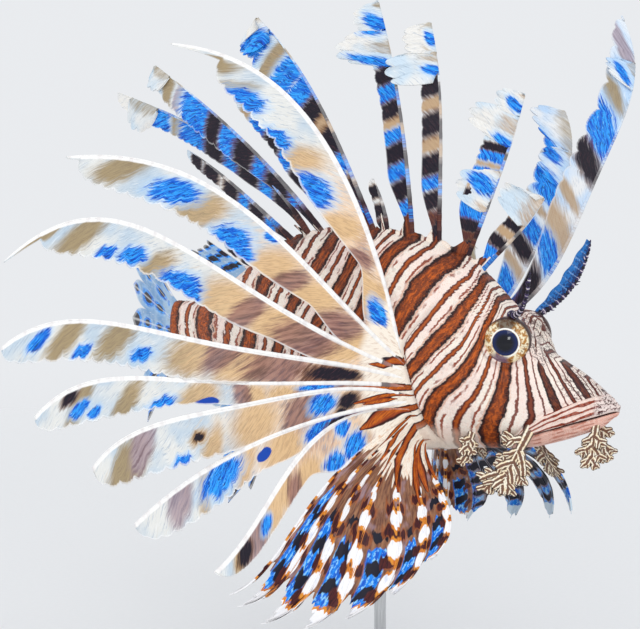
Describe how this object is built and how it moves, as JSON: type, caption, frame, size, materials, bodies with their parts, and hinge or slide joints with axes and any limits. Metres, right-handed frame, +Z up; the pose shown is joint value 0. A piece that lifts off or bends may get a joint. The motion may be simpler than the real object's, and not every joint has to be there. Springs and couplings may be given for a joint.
{
  "type": "red lionfish display model",
  "caption": "Life-size still model of a red lionfish with fanned pectoral and dorsal fins, held over a flat base by a short rod.",
  "frame": {"origin": "middle of the base plate's underside", "axes": "+X the way the head points, +Z up, -Y the fish's right side"},
  "size_m": [0.29, 0.3391, 0.3187],
  "materials": {
    "skin": "satin, painted with maroon, orange and pinkish-white bands",
    "jaw": "satin, pink with thin red-brown lines",
    "eye": "polished, black pupil in a mottled yellow and cream ring",
    "tentacle": "satin, banded dark purple and white",
    "fin_ray": "translucent satin, cream with blue blotches and tan bars",
    "claw_fan": "satin, brown rays with white patches and blue webs",
    "spine": "satin, banded blue, black and tan",
    "web_fin": "translucent satin, pale blue with dark dots",
    "pelvic_fin": "satin, deep blue with dark bands and pale tips",
    "cirrus": "matte cream, brown down the middle",
    "plate": "satin black stain",
    "rod": "brushed"
  },
  "bodies": {
    "root": {"head": "skin", "jaw": "jaw", "trunk": "skin", "tail_peduncle": "skin", "eye_right": "eye", "eye_left": "eye", "tentacle_right": "tentacle", "tentacle_left": "tentacle", "pectoral_right_ray_1": "fin_ray", "pectoral_right_ray_2": "fin_ray", "pectoral_right_ray_3": "fin_ray", "pectoral_right_ray_4": "fin_ray", "pectoral_right_ray_5": "fin_ray", "pectoral_right_ray_6": "fin_ray", "pectoral_right_ray_7": "fin_ray", "pectoral_right_ray_8": "fin_ray", "pectoral_left_ray_1": "fin_ray", "pectoral_left_ray_2": "fin_ray", "pectoral_left_ray_3": "fin_ray", "pectoral_left_ray_4": "fin_ray", "pectoral_left_ray_5": "fin_ray", "pectoral_left_ray_6": "fin_ray", "pectoral_left_ray_7": "fin_ray", "pectoral_left_ray_8": "fin_ray", "pectoral_right_lower": "claw_fan", "pectoral_left_lower": "claw_fan", "dorsal_spine_01": "spine", "dorsal_spine_02": "spine", "dorsal_spine_03": "spine", "dorsal_spine_04": "spine", "dorsal_spine_05": "spine", "dorsal_spine_06": "spine", "dorsal_spine_07": "spine", "dorsal_spine_08": "spine", "dorsal_spine_09": "spine", "dorsal_spine_10": "spine", "dorsal_spine_11": "spine", "dorsal_spine_12": "spine", "dorsal_spine_13": "spine", "dorsal_soft": "web_fin", "anal_fin": "web_fin", "caudal_fin": "web_fin", "pelvic_right": "pelvic_fin", "pelvic_left": "pelvic_fin", "cirrus_chin_right": "cirrus", "cirrus_chin_left": "cirrus", "cirrus_cheek_right": "cirrus", "cirrus_cheek_left": "cirrus", "cirrus_gill_right": "cirrus", "cirrus_gill_left": "cirrus", "stand_base": "plate", "stand_rod": "rod"}
  },
  "joints": []
}
